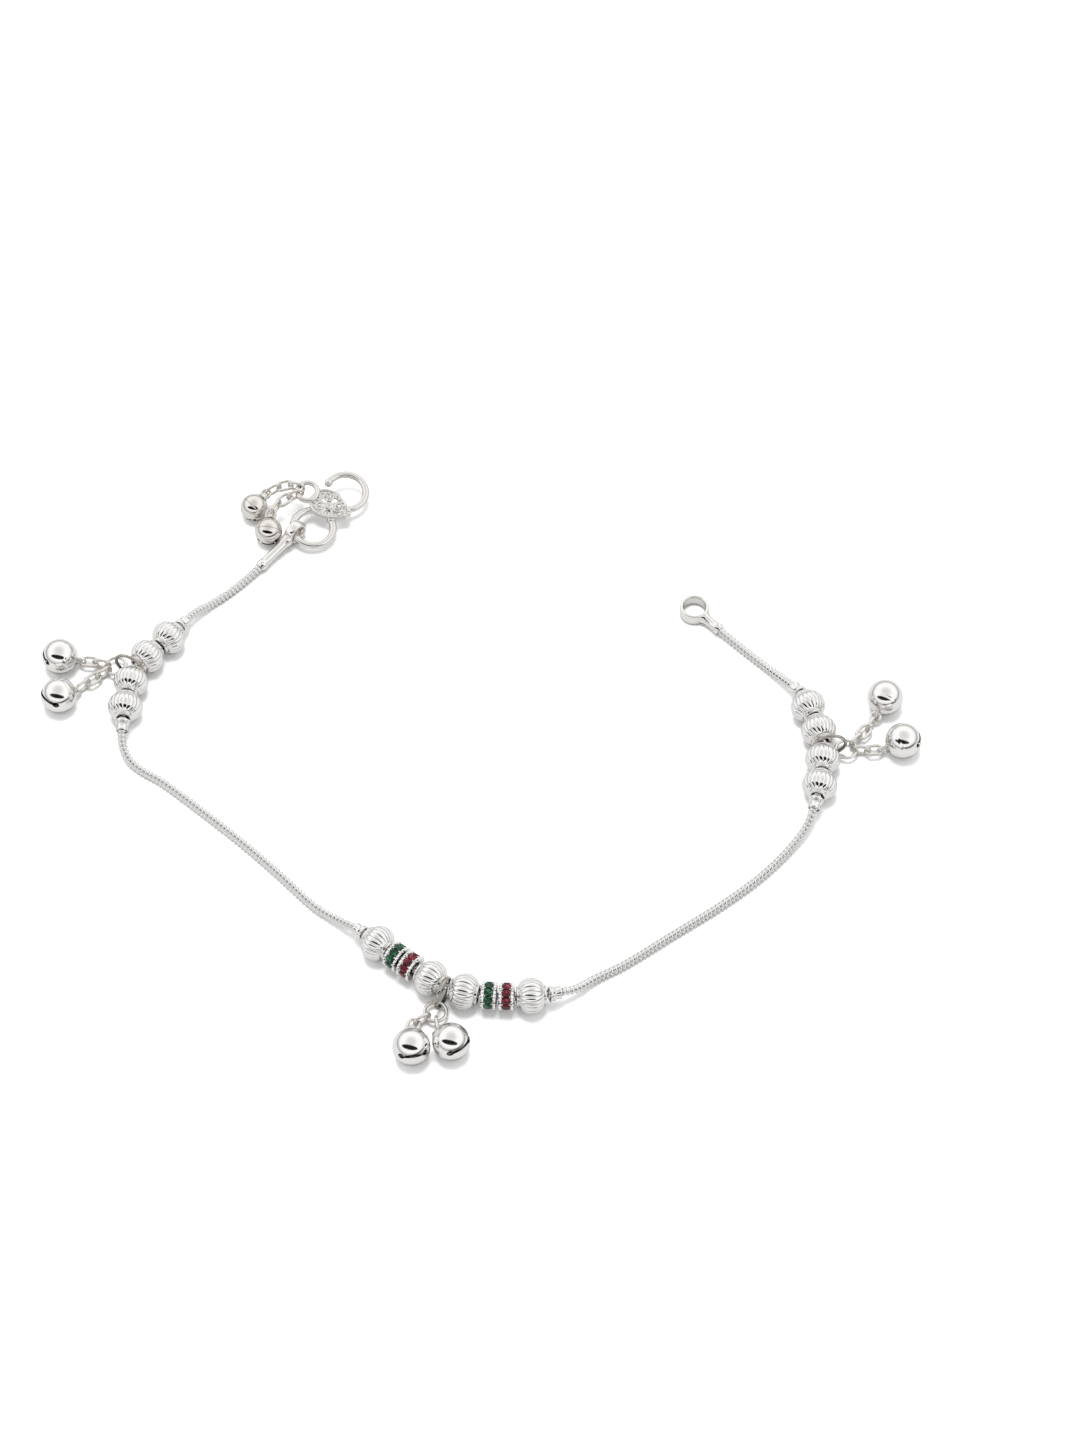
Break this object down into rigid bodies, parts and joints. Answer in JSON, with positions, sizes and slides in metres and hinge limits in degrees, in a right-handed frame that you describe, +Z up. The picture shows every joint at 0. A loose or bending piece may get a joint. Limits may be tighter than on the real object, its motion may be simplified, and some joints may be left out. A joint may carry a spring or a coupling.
{
  "type": "payal anklet",
  "caption": "Silver payal anklet with a snake chain, groups of fluted beads and bell drops, stone rondelles, an S hook with a leaf plate and a band ring, lying open.",
  "frame": {"origin": "middle of the box round the whole anklet, on the table it lies on", "axes": "+X along the anklet's longest extent, from the bells of the left group to those of the right; +Y from the centre group's bells to the clasp; +Z up from the table"},
  "size_m": [0.1512, 0.1212, 0.0062],
  "materials": {
    "chain_silver": "polished",
    "bead_silver": "polished",
    "bell_silver": "mirror polished",
    "link_silver": "polished",
    "clasp_silver": "polished",
    "green_stones": "gloss",
    "red_stones": "gloss"
  },
  "bodies": {
    "root": {"centre_bead_a1": "bead_silver", "centre_bead_a2": "bead_silver", "centre_bead_b1": "bead_silver", "centre_bead_b2": "bead_silver", "centre_cap_a": "bead_silver", "centre_cap_b": "bead_silver", "centre_connector": "link_silver", "centre_jump_ring": "link_silver", "centre_left_bell": "bell_silver", "centre_left_link_1": "link_silver", "centre_left_link_2": "link_silver", "centre_right_bell": "bell_silver", "centre_right_link_1": "link_silver", "clasp_eye": "clasp_silver", "clasp_lower_bell": "bell_silver", "clasp_lower_link_1": "link_silver", "clasp_lower_link_2": "link_silver", "clasp_lower_link_3": "link_silver", "clasp_upper_bell": "bell_silver", "clasp_upper_link_1": "link_silver", "clasp_upper_link_2": "link_silver", "clasp_upper_link_3": "link_silver", "end_ring": "clasp_silver", "green_rondelle_a": "green_stones", "green_rondelle_b": "green_stones", "left_bead_a1": "bead_silver", "left_bead_a2": "bead_silver", "left_bead_b1": "bead_silver", "left_bead_b2": "bead_silver", "left_cap_a": "bead_silver", "left_cap_b": "bead_silver", "left_connector": "link_silver", "left_jump_ring": "link_silver", "left_lower_bell": "bell_silver", "left_lower_link_1": "link_silver", "left_lower_link_2": "link_silver", "left_lower_link_3": "link_silver", "left_upper_bell": "bell_silver", "left_upper_link_1": "link_silver", "left_upper_link_2": "link_silver", "red_rondelle_a": "red_stones", "red_rondelle_b": "red_stones", "right_bead_a1": "bead_silver", "right_bead_a2": "bead_silver", "right_bead_b1": "bead_silver", "right_bead_b2": "bead_silver", "right_cap_a": "bead_silver", "right_cap_b": "bead_silver", "right_connector": "link_silver", "right_jump_ring": "link_silver", "right_lower_bell": "bell_silver", "right_lower_link_1": "link_silver", "right_lower_link_2": "link_silver", "right_upper_bell": "bell_silver", "right_upper_link_1": "link_silver", "right_upper_link_2": "link_silver", "right_upper_link_3": "link_silver", "s_hook": "clasp_silver", "snake_chain": "chain_silver"}
  },
  "joints": []
}
